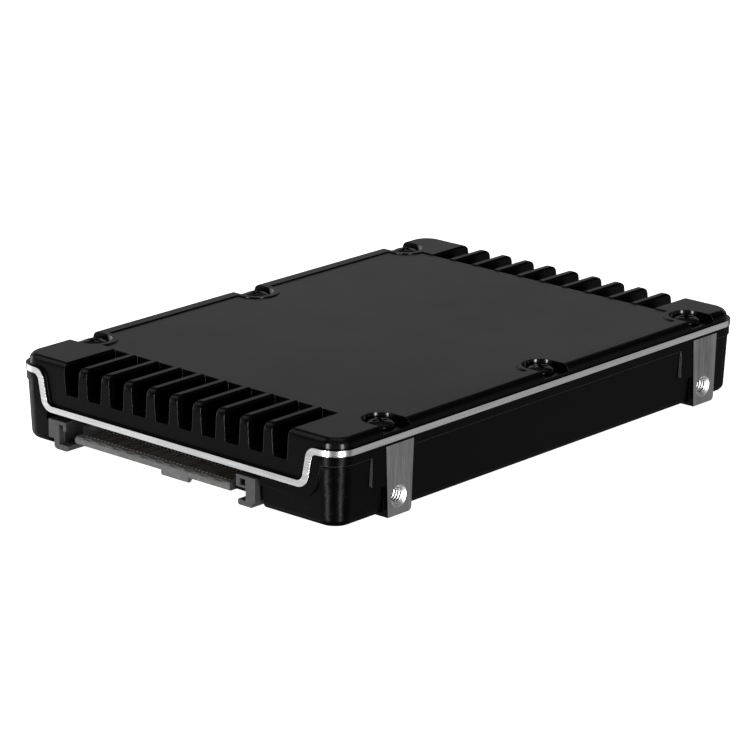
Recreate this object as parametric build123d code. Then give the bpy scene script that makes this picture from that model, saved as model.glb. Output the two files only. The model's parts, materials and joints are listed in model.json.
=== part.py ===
"""A 2.5-inch enterprise solid state drive: finned cast cover, cast tray, 68-contact plug, two boards.

Millimetres. +Z is up, the plug faces -Y, and the origin is the centre of the underside,
on the plane of the four mounting pads.
"""
import os
from math import radians, tan

from build123d import *

# Overall envelope
WIDTH = 69.85
LENGTH = 100.45
HEIGHT = 14.6
CORNER_R = 4.1

# Mounting holes, M3, placed from the two ends and from the pads
MOUNT_FROM_PLUG = 14.0
MOUNT_FROM_BACK = 9.85
MOUNT_BOTTOM_ACROSS = 61.72
MOUNT_HOLE_Z = 3.0
MOUNT_HOLE_R = 1.25
MOUNT_HOLE_DEPTH = 2.6
MOUNT_SINK_R = 1.8
MOUNT_SINK_DEPTH = 0.45

# Cover: bare machined edge, painted crown, fins at both ends
CROWN_H = 1.6
BAND_H = 1.05
SIDE_LEDGE = 0.45
END_LEDGE = 0.7
COVER_WALL = 1.5
ROOF_T = 1.5
CROWN_DRAFT = 2.0
CROWN_ROUND = 1.2
LABEL_DEPTH = 0.2
LABEL_FROM_SIDE = 3.3
APRON_T = 2.0
DIP_HALF = 27.6
DIP_DEPTH = 5.85
DIP_LEAN = 11.0
DIP_UPPER_R = 2.1
DIP_LOWER_R = 1.3

# Fins and slots
FIN_COUNT = 9
FIN_PITCH = 5.02
FIN_TOP = 1.6
FIN_ROOT = 2.15
FIN_EDGE = 0.3
SLOT_DEPTH = 5.0
SLOT_FROM_FRONT = 12.1
SLOT_FROM_BACK = 10.0
SLOT_SHELF = 1.2
SLOT_FLOOR_R = 0.35

# Cover screws in their open pockets
SCREW_FROM_SIDE = 3.85
SCREW_HEAD_R = 2.3
SCREW_HEAD_H = 0.95
SCREW_SHANK_R = 1.0
SCREW_LENGTH = 5.2
SCREW_CLEAR = 0.05
POCKET_R = 3.0
POCKET_DEPTH = 1.15
POCKET_RIM = 1.5
BOSS_R = 2.9

# Tray
TRAY_FLOOR_Z = 0.5
TRAY_FLOOR_T = 1.2
TRAY_WALL = 1.3
TRAY_DRAFT = 3.0
TRAY_BOTTOM_R = 1.2
TRAY_STEP = 0.375
RIM_INSET = 0.145
RIM_H = 1.55
LUG_WIDTH = 6.4
LUG_FOOT_WIDTH = 5.4
LUG_SHIFT = 0.25
LUG_BELOW_EDGE = 0.35
LUG_TOE_R = 0.7
LUG_REACH = 6.6
PANEL_PAD_FROM_HOLE = 6.0
PANEL_PAD_H = 5.1
PANEL_PAD_R = 0.8
UNDER_RECESS = 0.15
UNDER_LABEL_T = 0.1
UNDER_LABEL_MARGIN = 2.0

# Boards
BOARD_T = 1.0
BOARD_FROM_WALL = 0.8
MAIN_BOARD_Z = 4.4
MAIN_BOARD_FROM_PLUG = 6.6
BOARD_CLEAR = 0.4
MEMORY_FROM_ROOF = 2.0
POST_FROM_EDGE = 3.3
POST_R = 2.2
SPACER_R = 1.6
BOARD_SCREW_R = 0.7
BOARD_SCREW_GRIP = 2.0
BOARD_SCREW_HEAD_R = 1.5
BOARD_SCREW_HEAD_H = 0.6

# Chips and pads
CHIP_H = 1.2
CHIP_W = 14.0
CHIP_L = 18.0
CHIP_GAP_X = 2.2
CHIP_GAP_Y = 2.5
CHIP_FROM_BACK = 3.8
PAD_MARGIN = 0.5
PAD_T = 0.8
CONTROLLER = 21.0
LID = 17.0
SUBSTRATE_T = 0.5
LID_T = 1.1
DRAM = (7.5, 11.0, 1.1)
DRAM_COUNT = 5
DRAM_PITCH = 10.4
CAPACITOR = (7.3, 4.3, 2.6)
CAPACITOR_TAB = 0.12
TAB_FOOT = 1.3
CAPACITOR_FROM_EDGE = 0.6
CAPACITOR_COLUMNS = 6
CAPACITOR_PITCH = (8.0, 5.0)
INDUCTOR = (4.4, 4.4, 2.0)
INDUCTOR_R = 0.6
REGULATOR = (5.0, 4.0, 0.9)
POWER_PHASES = 5
PHASE_PITCH = 7.2
PHASE_OFFSET = 2.5
BOOT_MEMORY = (4.9, 6.0, 1.5)
CRYSTAL = (3.2, 2.5, 0.8)
BYPASS = (1.0, 0.5, 0.5)
BYPASS_ROWS = 10
BYPASS_PITCH = 1.6
BYPASS_FROM_CHIP = 1.8
SMALL_PART_FROM_POST = 4.0
LINK = (30.0, 5.0)
LINK_BASE_H = 1.6
LINK_BLADE = (27.0, 1.6)
LINK_CLEAR = 0.2
LINK_SEAT = 0.8

# Plug, centred off the middle of the drive
PLUG_X = -4.45
PLUG_HALF = 22.95
PLUG_DEPTH = 12.2
TONGUE_HALF = 17.0
TONGUE_TOP = 3.3
TONGUE_T = 1.3
TONGUE_NOSE = 0.3
PLUG_CLEAR = 0.45
FLOOR_CLEAR = 0.05
NOTCH_DEPTH = 4.9
CONTACT_T = 0.2
CONTACT_SINK = 0.1
CONTACT_FROM_NOSE = 1.4
TAIL_FOOT = 1.0
UPPER_COUNT = 40
UPPER_PITCH = 0.8
UPPER_W = 0.42
UPPER_TAIL = 0.6
LOWER_PITCH = 1.27
LOWER_W = 0.6
LOWER_TAIL = 2.2
POWER_COUNT = 15
SIGNAL_COUNT = 7
EXTRA_COUNT = 6
END_CONTACT = 0.8
KEY_HALF = 2.9
KEY_DROP = 0.8
KEY_DEPTH = 1.1
ARM_TOP = 5.1
LOCK_R = 0.8
LOCK_FROM_END = 2.2
LOCK_STAND = 0.5

HX = WIDTH / 2
HY = LENGTH / 2
BAND_TOP = HEIGHT - CROWN_H
PARTING = BAND_TOP - BAND_H
ROOF_UNDER = HEIGHT - LABEL_DEPTH - ROOF_T
SLOT_FLOOR = HEIGHT - SLOT_DEPTH
SLOT_HALF = (FIN_COUNT + 1) * FIN_PITCH / 2 - FIN_ROOT / 2
SLOT_FRONT = -HY + SLOT_FROM_FRONT
SLOT_BACK = HY - SLOT_FROM_BACK
HOLE_Y = (-HY + MOUNT_FROM_PLUG, HY - MOUNT_FROM_BACK)
SCREW_X = HX - SCREW_FROM_SIDE
SCREW_Y = (HOLE_Y[0], (HOLE_Y[0] + HOLE_Y[1]) / 2, HOLE_Y[1])
POCKET_FLOOR = HEIGHT - POCKET_DEPTH
TRAY_TOP_Z = PARTING - RIM_H
TRAY_FOOT = TRAY_STEP + (TRAY_TOP_Z - TRAY_FLOOR_Z) * tan(radians(TRAY_DRAFT))
TRAY_IN = TRAY_FOOT + TRAY_WALL
TRAY_INSIDE_Z = TRAY_FLOOR_Z + TRAY_FLOOR_T
MAIN_TOP = MAIN_BOARD_Z + BOARD_T
MEMORY_TOP = ROOF_UNDER - MEMORY_FROM_ROOF
MEMORY_BOTTOM = MEMORY_TOP - BOARD_T
BOARD_HX = HX - TRAY_IN - BOARD_FROM_WALL
MAIN_FRONT = -HY + MAIN_BOARD_FROM_PLUG
MAIN_BACK = HY - TRAY_IN - BOARD_FROM_WALL
MEMORY_FRONT = SLOT_FRONT + COVER_WALL + BOARD_CLEAR
MEMORY_BACK = SLOT_BACK - COVER_WALL - BOARD_CLEAR
POST_X = BOARD_HX - POST_FROM_EDGE
POST_Y = ((SCREW_Y[0] + SCREW_Y[1]) / 2, (SCREW_Y[1] + SCREW_Y[2]) / 2)
CHIP_STEP_X = CHIP_W + CHIP_GAP_X
CHIP_STEP_Y = CHIP_L + CHIP_GAP_Y
CHIP_X = (-CHIP_STEP_X, 0.0, CHIP_STEP_X)
CHIP_MID_Y = MEMORY_BACK - CHIP_FROM_BACK - 1.5 * CHIP_STEP_Y
CHIP_Y = (CHIP_MID_Y - CHIP_STEP_Y, CHIP_MID_Y, CHIP_MID_Y + CHIP_STEP_Y)
LINK_Y = (MEMORY_FRONT + CHIP_Y[0] - CHIP_L / 2) / 2
PLUG_BODY_FRONT = -HY + NOTCH_DEPTH + PLUG_CLEAR
PLUG_BACK = -HY + PLUG_DEPTH


def block(x0, x1, y0, y1, z0, z1):
    """Box between two corners."""
    return Pos((x0 + x1) / 2, (y0 + y1) / 2, (z0 + z1) / 2) * Box(x1 - x0, y1 - y0, z1 - z0)


def rod(x, y, z0, z1, radius):
    """Upright cylinder."""
    return Pos(x, y, (z0 + z1) / 2) * Cylinder(radius, z1 - z0)


def slab(side_inset, end_inset, z0, z1):
    """Upright prism on the drive's rounded outline, drawn in by the two insets."""
    radius = CORNER_R - min(side_inset, end_inset)
    outline = RectangleRounded(WIDTH - 2 * side_inset, LENGTH - 2 * end_inset, max(radius, 1.0))
    return Pos(0, 0, z0) * extrude(outline, z1 - z0)


def drafted(side0, end0, z0, side1, end1, z1):
    """Prism on the rounded outline whose insets change from z0 to z1."""
    rings = []
    for side, end, z in ((side0, end0, z0), (side1, end1, z1)):
        radius = max(CORNER_R - min(side, end), 1.0)
        rings.append(Pos(0, 0, z) * RectangleRounded(WIDTH - 2 * side, LENGTH - 2 * end, radius))
    return loft(rings, ruled=True)


def wall_prism(points, y0, y1):
    """Prism along Y on a closed outline of (x, z) points."""
    face = Plane.XZ.offset(-y0) * make_face(Polyline(*points, close=True))
    return extrude(face, y0 - y1)


def copies(shape, places):
    """Separate copies of one solid at a list of (x, y, z) places."""
    return Compound(children=[Pos(*place) * shape for place in places])


def solids_of(items):
    """One group of separate solids."""
    return Compound(children=[solid for item in items for solid in item.solids()])


# ---------------------------------------------------------------- cover

def above_edge(drop):
    """Region of the end wall above the machined edge's path, the path lowered by a drop."""
    lean = tan(radians(DIP_LEAN))
    low = BAND_TOP - DIP_DEPTH - drop
    high = BAND_TOP - drop
    foot = DIP_HALF + drop
    knee = foot + lean * (high - low)
    far = HX + 5
    roof = HEIGHT + 5
    upper_r = DIP_UPPER_R - drop if DIP_UPPER_R > drop + 0.3 else 0.3
    lower_r = DIP_LOWER_R + drop
    half = FilletPolyline(
        (0, low), (foot, low), (knee, high), (far, high), radius=[lower_r, upper_r]
    )
    edges = half + mirror(half, Plane.YZ) + Polyline((far, high), (far, roof), (-far, roof), (-far, high))
    return make_face(edges)


def end_region(drop, inner, outer):
    """The region above the edge's path as a slab at both ends, between two insets from the end."""
    face = Plane.XZ * above_edge(drop)
    front = Pos(0, -HY + inner, 0) * extrude(face, inner - outer)
    return [front, mirror(front, Plane.XZ)]


def both_ends(x_half, inset, z0, z1):
    """Blocks behind the two end walls, under and around the slots."""
    front = block(-x_half, x_half, -HY + inset, SLOT_FRONT + COVER_WALL, z0, z1)
    back = block(-x_half, x_half, SLOT_BACK - COVER_WALL, HY - inset, z0, z1)
    return front + back


def slot_cutters():
    """Drafted open slots between the fins at both ends."""
    floor = (FIN_PITCH - FIN_ROOT) / 2
    top = (FIN_PITCH - FIN_TOP) / 2
    over = 1.0
    flare = top + FIN_EDGE + over
    half = [(floor, SLOT_FLOOR), (top, HEIGHT - FIN_EDGE), (flare, HEIGHT + over)]
    outline = half + [(-x, z) for x, z in reversed(half)]
    cutters = []
    for y0, y1 in ((-HY - over, SLOT_FRONT), (SLOT_BACK, HY + over)):
        tool = wall_prism(outline, y0, y1)
        tool = fillet(tool.edges().filter_by(Axis.Y).group_by(Axis.Z)[0], SLOT_FLOOR_R)
        cutters += [Pos((i - FIN_COUNT / 2) * FIN_PITCH, 0, 0) * tool for i in range(FIN_COUNT + 1)]
    return cutters


def screw_seats():
    """Solid blocks between the roof and the tray, one under each cover screw."""
    reach = BOSS_R + SCREW_CLEAR
    seats = []
    for y in SCREW_Y:
        for x0, x1 in ((SCREW_X - reach, HX), (-HX, reach - SCREW_X)):
            seats.append(block(x0, x1, y - reach, y + reach, PARTING, HEIGHT))
    return seats


def screw_pockets():
    """Round-ended pockets open to the long sides, with the screw holes through their floors."""
    pockets = []
    for y in SCREW_Y:
        for side in (-1, 1):
            x0, x1 = sorted((side * SCREW_X, side * (HX + 1)))
            pockets.append(rod(side * SCREW_X, y, POCKET_FLOOR, HEIGHT + 1, POCKET_R))
            pockets.append(block(x0, x1, y - POCKET_R, y + POCKET_R, POCKET_FLOOR, HEIGHT + 1))
            pockets.append(rod(side * SCREW_X, y, PARTING - 1, HEIGHT, SCREW_SHANK_R + SCREW_CLEAR))
    return pockets


def label_recess():
    """Shallow field on top between the slots, stopping short of the sides and the pockets."""
    half = HX - LABEL_FROM_SIDE
    field = block(-half, half, SLOT_FRONT, SLOT_BACK, HEIGHT - LABEL_DEPTH, HEIGHT + 1)
    for y in SCREW_Y:
        for x in (-SCREW_X, SCREW_X):
            field -= rod(x, y, HEIGHT - 1, HEIGHT + 2, POCKET_R + POCKET_RIM)
    return field


def top_cover():
    """Cast cover: machined edge that dips at both ends, painted crown, fins, pockets and label field."""
    taper = CROWN_H * tan(radians(CROWN_DRAFT))
    crown = drafted(
        SIDE_LEDGE, END_LEDGE, BAND_TOP, SIDE_LEDGE + taper, END_LEDGE + taper, HEIGHT
    )
    crown = fillet(crown.faces().sort_by(Axis.Z)[-1].edges(), CROWN_ROUND)
    block_half = SLOT_HALF + COVER_WALL
    shelf = SLOT_FLOOR - SLOT_SHELF
    cavity = slab(SIDE_LEDGE + COVER_WALL, END_LEDGE + COVER_WALL, 0, ROOF_UNDER)
    cavity = cavity - both_ends(block_half, 0, shelf, HEIGHT) - screw_seats()
    outline = slab(0, 0, 0, BAND_TOP)
    aprons = [outline & apron for apron in end_region(BAND_H, APRON_T, 0)]
    body = slab(0, 0, PARTING, BAND_TOP) + aprons + both_ends(block_half, END_LEDGE, shelf, BAND_TOP)
    body = body - end_region(0, END_LEDGE, -1) + crown
    return body - cavity - slot_cutters() - screw_pockets() - label_recess()


def cover_screw():
    """Pan-head cross-recess screw, its head's seat at z = 0."""
    head = Pos(0, 0, SCREW_HEAD_H / 2) * Cylinder(SCREW_HEAD_R, SCREW_HEAD_H)
    head = fillet(head.edges().group_by(Axis.Z)[-1], SCREW_HEAD_H / 3)
    shank = Pos(0, 0, -SCREW_LENGTH / 2) * Cylinder(SCREW_SHANK_R, SCREW_LENGTH)
    wing = SCREW_HEAD_R * 0.55
    slot = SCREW_HEAD_R * 0.14
    low, over = SCREW_HEAD_H / 3, SCREW_HEAD_H + 1
    cross = block(-wing, wing, -slot, slot, low, over) + block(-slot, slot, -wing, wing, low, over)
    return head + shank - cross


# ---------------------------------------------------------------- tray

def lug(y):
    """Mounting pillar at +X: proud machined face, foot pad, taper and one round toe."""
    top = PARTING - LUG_BELOW_EDGE
    wide, foot = LUG_WIDTH / 2, LUG_FOOT_WIDTH / 2
    outline = Polyline((-wide, top), (-foot, 0), (foot, 0), (wide, top), close=True)
    toe = make_face(outline)
    corner = toe.vertices().sort_by(Axis.Y)[:2].sort_by(Axis.X)[-1]
    toe = fillet(corner, LUG_TOE_R)
    face = Plane.YZ.offset(HX - LUG_REACH) * toe
    pillar = extrude(face, LUG_REACH)
    core = block(HX - LUG_REACH, HX - TRAY_FOOT, -wide, wide, TRAY_INSIDE_Z - 0.1, PARTING)
    return Pos(0, y + LUG_SHIFT, 0) * (pillar + core)


def panel_pad(y):
    """Upright pad beside a lug, flush with the rim, with one round lower corner."""
    low = TRAY_TOP_Z - PANEL_PAD_H
    pad = block(HX - TRAY_IN, HX - RIM_INSET, y - PANEL_PAD_FROM_HOLE, y, low, TRAY_TOP_Z)
    edge = pad.edges().filter_by(Axis.X).group_by(Axis.Z)[0].sort_by(Axis.Y)[0]
    return fillet(edge, PANEL_PAD_R)


def mount_holes():
    """Side and bottom M3 holes with their countersinks."""
    cuts = []
    sink = (MOUNT_SINK_R, MOUNT_HOLE_R, MOUNT_SINK_DEPTH)
    for y in HOLE_Y:
        for side in (-1, 1):
            across = Pos(side * (HX - MOUNT_HOLE_DEPTH / 2), y, MOUNT_HOLE_Z) * Rot(0, 90, 0)
            cuts.append(across * Cylinder(MOUNT_HOLE_R, MOUNT_HOLE_DEPTH))
            mouth = Pos(side * (HX - MOUNT_SINK_DEPTH / 2), y, MOUNT_HOLE_Z) * Rot(0, -90 * side, 0)
            cuts.append(mouth * Cone(*sink))
            x = side * MOUNT_BOTTOM_ACROSS / 2
            cuts.append(rod(x, y, 0, MOUNT_HOLE_DEPTH, MOUNT_HOLE_R))
            cuts.append(Pos(x, y, MOUNT_SINK_DEPTH / 2) * Cone(*sink))
    return cuts


def base_tray():
    """Cast tray with drafted walls, a rim under the cover's edge, lugs, posts and the plug's notch."""
    body = drafted(TRAY_FOOT, TRAY_FOOT, TRAY_FLOOR_Z, TRAY_STEP, TRAY_STEP, TRAY_TOP_Z)
    body = fillet(body.faces().sort_by(Axis.Z)[0].edges(), TRAY_BOTTOM_R)
    outline = slab(RIM_INSET, RIM_INSET, 0, PARTING)
    body = body + slab(RIM_INSET, RIM_INSET, TRAY_TOP_Z, PARTING)
    body = body + [outline & lip for lip in end_region(BAND_H + RIM_H, TRAY_IN, RIM_INSET)]
    pads = [panel_pad(y) for y in HOLE_Y]
    body = body + pads + [mirror(pad, Plane.YZ) for pad in pads]
    body = body - slab(TRAY_IN, TRAY_IN, TRAY_INSIDE_Z, HEIGHT) - end_region(BAND_H, TRAY_IN + 0.1, -1)
    lugs = [lug(y) for y in HOLE_Y]
    body = body + lugs + [mirror(one, Plane.YZ) for one in lugs] + tray_posts()
    cut = PLUG_HALF + PLUG_CLEAR
    body = body - block(PLUG_X - cut, PLUG_X + cut, -HY - 1, -HY + NOTCH_DEPTH, -1, HEIGHT)
    drills = [rod(x, y, PARTING - SCREW_LENGTH, HEIGHT, SCREW_SHANK_R + SCREW_CLEAR)
              for x in (-SCREW_X, SCREW_X) for y in SCREW_Y]
    return body - drills - mount_holes() - under_label_field(UNDER_RECESS, 0.3)


def tray_posts():
    """Bosses inside the tray: middle cover screws, board posts and the controller's pedestal."""
    mid = SCREW_Y[1]
    items = []
    for side in (-1, 1):
        x0, x1 = sorted((side * SCREW_X, side * (HX - TRAY_IN + TRAY_WALL / 2)))
        items.append(rod(side * SCREW_X, mid, TRAY_INSIDE_Z - 0.1, PARTING, BOSS_R))
        items.append(block(x0, x1, mid - BOSS_R, mid + BOSS_R, TRAY_INSIDE_Z - 0.1, PARTING))
        for y in POST_Y:
            post = rod(side * POST_X, y, TRAY_FLOOR_Z + 0.1, MAIN_BOARD_Z, POST_R)
            items.append(post - rod(side * POST_X, y, TRAY_INSIDE_Z, HEIGHT, BOARD_SCREW_R + SCREW_CLEAR))
    top = MAIN_BOARD_Z - SUBSTRATE_T - LID_T - PAD_T
    half = LID / 2
    items.append(block(-half, half, CHIP_Y[0] - half, CHIP_Y[0] + half, TRAY_FLOOR_Z + 0.1, top))
    return items


def under_label_field(depth, margin):
    """Rounded field on the underside between the pads, grown by a margin."""
    half_x = HX - LUG_REACH - UNDER_LABEL_MARGIN + margin
    y0 = PLUG_BACK + UNDER_LABEL_MARGIN - margin
    y1 = HY - TRAY_IN - UNDER_LABEL_MARGIN + margin
    outline = Pos(0, (y0 + y1) / 2, TRAY_FLOOR_Z) * RectangleRounded(2 * half_x, y1 - y0, 1.5)
    return extrude(outline, depth)


def under_label():
    """Plain label in the underside's field, its back on the field's floor."""
    return Pos(0, 0, UNDER_RECESS - UNDER_LABEL_T) * under_label_field(UNDER_LABEL_T, 0)


# ---------------------------------------------------------------- boards

def board(y0, y1, z):
    """Circuit board with notches round the pillars and the middle bosses, and holes for its screws."""
    plate = block(-BOARD_HX, BOARD_HX, y0, y1, z, z + BOARD_T)
    inner = HX - LUG_REACH - BOARD_CLEAR
    half = LUG_WIDTH / 2 + LUG_SHIFT + BOARD_CLEAR
    mid_inner = SCREW_X - BOSS_R - BOARD_CLEAR
    mid_half = BOSS_R + SCREW_CLEAR + BOARD_CLEAR
    gaps = [(inner, half, HOLE_Y[0]), (inner, half, HOLE_Y[1]), (mid_inner, mid_half, SCREW_Y[1])]
    for x, reach, y in gaps:
        for x0, x1 in ((x, HX), (-HX, -x)):
            plate -= block(x0, x1, y - reach, y + reach, z - 1, z + BOARD_T + 1)
    for x in (-POST_X, POST_X):
        for y in POST_Y:
            plate -= rod(x, y, z - 1, z + BOARD_T + 1, BOARD_SCREW_R + SCREW_CLEAR)
    return plate


def main_board():
    """Lower board, with holes for the plug's two locks."""
    plate = board(MAIN_FRONT, MAIN_BACK, MAIN_BOARD_Z)
    for x, y in lock_places():
        plate -= rod(x, y, 0, HEIGHT, LOCK_R)
    return plate


def memory_board():
    """Upper board."""
    return board(MEMORY_FRONT, MEMORY_BACK, MEMORY_BOTTOM)


def board_places(z):
    """Places of the four board posts at a height."""
    return [(x, y, z) for y in POST_Y for x in (-POST_X, POST_X)]


def spacer():
    """Hexagonal spacer between the boards, its foot at z = 0."""
    hexagon = extrude(RegularPolygon(SPACER_R, 6), MEMORY_BOTTOM - MAIN_TOP)
    return hexagon - rod(0, 0, -1, HEIGHT, BOARD_SCREW_R + SCREW_CLEAR)


def board_screw():
    """Long screw through both boards into a post, its head's seat at z = 0."""
    length = MEMORY_TOP - MAIN_BOARD_Z + BOARD_SCREW_GRIP
    head = Pos(0, 0, BOARD_SCREW_HEAD_H / 2) * Cylinder(BOARD_SCREW_HEAD_R, BOARD_SCREW_HEAD_H)
    shank = Pos(0, 0, -length / 2) * Cylinder(BOARD_SCREW_R, length)
    slot = BOARD_SCREW_HEAD_R * 0.15
    wing = BOARD_SCREW_HEAD_R * 0.6
    return head + shank - block(-wing, wing, -slot, slot, BOARD_SCREW_HEAD_H / 2, 2)


# ---------------------------------------------------------------- chips and pads

def package(width, length, height):
    """Moulded package with chamfered top edges, its seat at z = 0."""
    body = Pos(0, 0, height / 2) * Box(width, length, height)
    return chamfer(body.faces().sort_by(Axis.Z)[-1].edges(), min(height, 1.0) * 0.12)


def flipped(shape):
    """The same part hanging from z = 0."""
    return Rot(180, 0, 0) * shape


def grid(xs, ys, z):
    """Places on a grid."""
    return [(x, y, z) for y in ys for x in xs]


def pad(width, length, z0, z1):
    """Thermal pad, a little smaller than the chip that it lies on."""
    return block(-width / 2 + PAD_MARGIN, width / 2 - PAD_MARGIN,
                 -length / 2 + PAD_MARGIN, length / 2 - PAD_MARGIN, z0, z1)


def dram_x():
    """Places across the board of the memory buffers."""
    return [(i - (DRAM_COUNT - 1) / 2) * DRAM_PITCH for i in range(DRAM_COUNT)]


def capacitor_places():
    """Places of the hold-up capacitors, in rows behind the last chips."""
    xs = [(i - (CAPACITOR_COLUMNS - 1) / 2) * CAPACITOR_PITCH[0] for i in range(CAPACITOR_COLUMNS)]
    last = MAIN_BACK - CAPACITOR[1] / 2 - CAPACITOR_FROM_EDGE
    return grid(xs, (last - CAPACITOR_PITCH[1], last), MAIN_TOP)


def capacitor():
    """Moulded body of a hold-up capacitor, standing clear of the board on its tabs."""
    width, length, height = CAPACITOR
    body = package(width - 2 * CAPACITOR_TAB, length, height - CAPACITOR_TAB)
    return Pos(0, 0, CAPACITOR_TAB) * body


def capacitor_tabs():
    """The two end tabs of a hold-up capacitor, bent under its body."""
    width, length, height = CAPACITOR
    half, tab, wide = width / 2, CAPACITOR_TAB, length * 0.28
    upright = block(half - tab, half, -wide, wide, 0, height / 2)
    right = upright + block(half - TAB_FOOT, half, -wide, wide, 0, tab)
    return [right, mirror(right, Plane.YZ)]


def power_row(y):
    """Evenly spaced places in a row behind the plug, on the main board."""
    return [(PLUG_X + (i - (POWER_PHASES - 1) / 2) * PHASE_PITCH, y, MAIN_TOP) for i in range(POWER_PHASES)]


def inductor():
    """Power inductor: a square ferrite block with rounded corners."""
    width, length, height = INDUCTOR
    body = Pos(0, 0, height / 2) * Box(width, length, height)
    body = fillet(body.edges().filter_by(Axis.Z), INDUCTOR_R)
    return chamfer(body.faces().sort_by(Axis.Z)[-1].edges(), INDUCTOR_R / 4)


def crystal():
    """Metal-canned crystal with rounded corners."""
    width, length, height = CRYSTAL
    body = Pos(0, 0, height / 2) * Box(width, length, height)
    return fillet(body.edges().filter_by(Axis.Z), height / 2)


def small_chips():
    """Ceramic capacitors in two columns beside the upper chips of the lower board."""
    width, length, height = BYPASS
    chip = Pos(0, 0, height / 2) * Box(width, length, height)
    edge = CHIP_STEP_X + CHIP_W / 2 + BYPASS_FROM_CHIP
    middle = (CHIP_Y[1] + CHIP_Y[2]) / 2
    ys = [middle + (i - (BYPASS_ROWS - 1) / 2) * BYPASS_PITCH for i in range(BYPASS_ROWS)]
    return copies(chip, grid((-edge, edge), ys, MAIN_TOP))


# ---------------------------------------------------------------- links and plug

def board_plug():
    """Male half of the board-to-board link, on the main board."""
    half_x, half_y = LINK[0] / 2, LINK[1] / 2
    blade_x, blade_y = LINK_BLADE[0] / 2, LINK_BLADE[1] / 2
    base = block(-half_x, half_x, LINK_Y - half_y, LINK_Y + half_y, MAIN_TOP, MAIN_TOP + LINK_BASE_H)
    top = MEMORY_BOTTOM - LINK_SEAT - LINK_CLEAR
    return base + block(-blade_x, blade_x, LINK_Y - blade_y, LINK_Y + blade_y, MAIN_TOP, top)


def board_socket():
    """Female half of the link, under the memory board."""
    half_x, half_y = LINK[0] / 2, LINK[1] / 2
    slot_x, slot_y = LINK_BLADE[0] / 2 + LINK_CLEAR, LINK_BLADE[1] / 2 + LINK_CLEAR
    seat = MAIN_TOP + LINK_BASE_H
    body = block(-half_x, half_x, LINK_Y - half_y, LINK_Y + half_y, seat, MEMORY_BOTTOM)
    top = MEMORY_BOTTOM - LINK_SEAT
    return body - block(-slot_x, slot_x, LINK_Y - slot_y, LINK_Y + slot_y, seat - 1, top)


def lock_places():
    """Places of the two board locks at the ends of the plug."""
    reach = PLUG_HALF - LOCK_FROM_END
    y = (MAIN_FRONT + PLUG_BACK) / 2
    return [(PLUG_X - reach, y), (PLUG_X + reach, y)]


def board_lock(x, y):
    """Metal peg that holds the plug to the board."""
    return rod(x, y, TONGUE_TOP, MAIN_TOP + LOCK_STAND, LOCK_R)


def contact(x, width, z, tail):
    """One contact: a blade along the tongue, through the body, up to the board, with a soldered foot."""
    x0, x1 = x - width / 2, x + width / 2
    end = PLUG_BACK + tail
    blade = block(x0, x1, -HY + CONTACT_FROM_NOSE, end, z, z + CONTACT_T)
    riser = block(x0, x1, end - CONTACT_T, end, z, MAIN_BOARD_Z)
    foot = block(x0, x1, end - CONTACT_T, end + TAIL_FOOT, MAIN_BOARD_Z - CONTACT_T, MAIN_BOARD_Z)
    return blade + riser + foot


def upper_contact_x():
    """Contact places on top of the tongue."""
    return [PLUG_X + (i - (UPPER_COUNT - 1) / 2) * UPPER_PITCH for i in range(UPPER_COUNT)]


def upper_contacts():
    """The close-pitched row on top of the tongue."""
    z = TONGUE_TOP - CONTACT_SINK - CONTACT_T
    return [contact(x, UPPER_W, z, UPPER_TAIL) for x in upper_contact_x()]


def lower_contact_x():
    """Power, signal and extra contact places under the tongue, with the key between them."""
    power = [PLUG_X - TONGUE_HALF + END_CONTACT + i * LOWER_PITCH for i in range(POWER_COUNT)]
    signal = [PLUG_X + TONGUE_HALF - END_CONTACT - i * LOWER_PITCH for i in range(SIGNAL_COUNT)]
    key = (power[-1] + signal[-1]) / 2
    extra = [key + (i - (EXTRA_COUNT - 1) / 2) * UPPER_PITCH for i in range(EXTRA_COUNT)]
    return power, signal, extra, key


def lower_contacts():
    """The three groups under the tongue."""
    power, signal, extra, _ = lower_contact_x()
    z = TONGUE_TOP - TONGUE_T + CONTACT_SINK
    wide = [contact(x, LOWER_W, z, LOWER_TAIL) for x in power + signal]
    return wide + [contact(x, UPPER_W, z, LOWER_TAIL) for x in extra]


def left_arm(x, y0, y1):
    """Hooked guide at the power end, measured from the plug's end."""
    foot = block(x + 1.25, x + 4.6, y0, y1, 0.3, 1.3)
    foot = fillet(foot.edges().filter_by(Axis.Y).group_by(Axis.Z)[0], 0.7)
    post = block(x, x + 1.7, y0, y1, 1.95, ARM_TOP)
    pillar = block(x + 1.25, x + 2.4, y0, y1, 1.1, ARM_TOP)
    web = block(x + 2.3, x + 4.6, y0 + 1.2, y1, 1.2, 3.4)
    bar = block(x, x + 4.0, y0, y1, ARM_TOP - 0.6, ARM_TOP)
    hook = block(x + 3.3, x + 4.0, y0, y1, ARM_TOP - 1.6, ARM_TOP)
    stem = block(x + 4.5, x + 6.2, y0 + 2.4, y1, 1.5, TONGUE_TOP)
    return foot + post + pillar + web + bar + hook + stem


def right_arm(x, y0, y1):
    """Guide at the signal end: plate with a square hole over a T-shaped foot."""
    plate = block(x - 4.5, x - 0.5, y0, y1, 3.3, ARM_TOP + 0.2)
    plate = plate - block(x - 3.75, x - 2.55, y0 - 1, y0 + 2, 3.7, 4.7)
    stem = block(x - 2.5, x - 0.5, y0, y1, 1.2, 3.4)
    foot = block(x - 4.1, x - 1.0, y0, y1, 0.4, 1.3)
    foot = fillet(foot.edges().filter_by(Axis.Y).group_by(Axis.Z)[0], 0.35)
    return plate + stem + foot


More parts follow.
